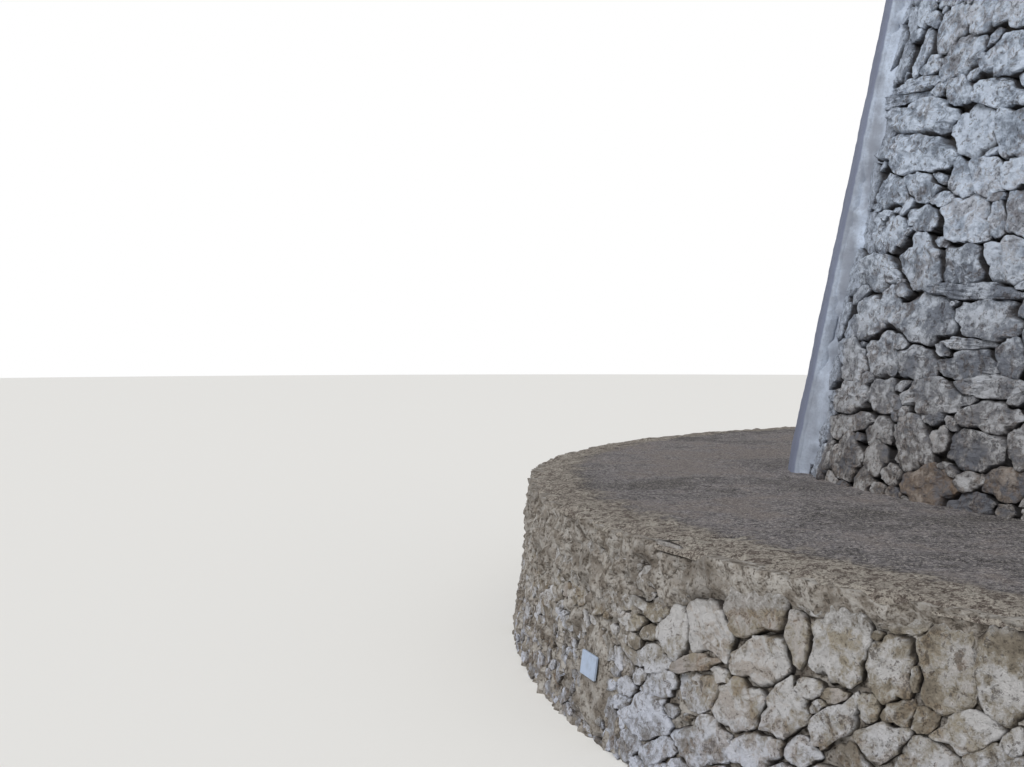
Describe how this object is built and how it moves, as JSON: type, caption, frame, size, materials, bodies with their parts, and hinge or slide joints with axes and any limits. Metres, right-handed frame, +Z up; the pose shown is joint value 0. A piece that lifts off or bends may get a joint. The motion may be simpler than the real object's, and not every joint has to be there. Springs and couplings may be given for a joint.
{
  "type": "dry-stone trullo house",
  "caption": "Two-tier truncated dry-stone trullo with a low battered ring wall and screeded walkway, a battered cone and a round corbelled room behind an open doorway.",
  "frame": {"origin": "on the building's axis at paving level", "axes": "+Z up along the axis, -Y out of the doorway, +X to the right of a person who faces +Y"},
  "size_m": [8.8092, 8.7602, 3.96],
  "materials": {
    "mortared_rubble": "rough",
    "dry_rubble": "rough",
    "dome_stone": "rough",
    "dressed_stone": "rough",
    "screed": "rough",
    "render": "rough",
    "lid_plastic": "matt"
  },
  "bodies": {
    "root": {"capstone": "dome_stone", "cone_wall_lower_1": "dry_rubble", "cone_wall_lower_2": "dry_rubble", "cone_wall_lower_3": "dry_rubble", "cone_wall_lower_4": "dry_rubble", "cone_wall_lower_5": "dry_rubble", "cone_wall_lower_6": "dry_rubble", "cone_wall_upper_1": "dry_rubble", "cone_wall_upper_2": "dry_rubble", "cone_wall_upper_3": "dry_rubble", "cone_wall_upper_4": "dry_rubble", "cone_wall_upper_5": "dry_rubble", "cone_wall_upper_6": "dry_rubble", "dome_ring_1": "dome_stone", "dome_ring_10": "dome_stone", "dome_ring_11": "dome_stone", "dome_ring_12": "dome_stone", "dome_ring_13": "dome_stone", "dome_ring_2": "dome_stone", "dome_ring_3": "dome_stone", "dome_ring_4": "dome_stone", "dome_ring_5": "dome_stone", "dome_ring_6": "dome_stone", "dome_ring_7": "dome_stone", "dome_ring_8": "dome_stone", "dome_ring_9": "dome_stone", "door_lintel": "dressed_stone", "inner_lintel": "dressed_stone", "left_jamb": "dressed_stone", "rendered_rib": "render", "right_jamb": "dressed_stone", "ring_wall_1": "mortared_rubble", "ring_wall_2": "mortared_rubble", "ring_wall_3": "mortared_rubble", "ring_wall_4": "mortared_rubble", "ring_wall_5": "mortared_rubble", "ring_wall_6": "mortared_rubble", "roof_bed": "screed", "threshold": "dressed_stone", "walkway_screed_1": "screed", "walkway_screed_2": "screed", "walkway_screed_3": "screed", "walkway_screed_4": "screed", "wiring_box_lid": "lid_plastic"}
  },
  "joints": []
}
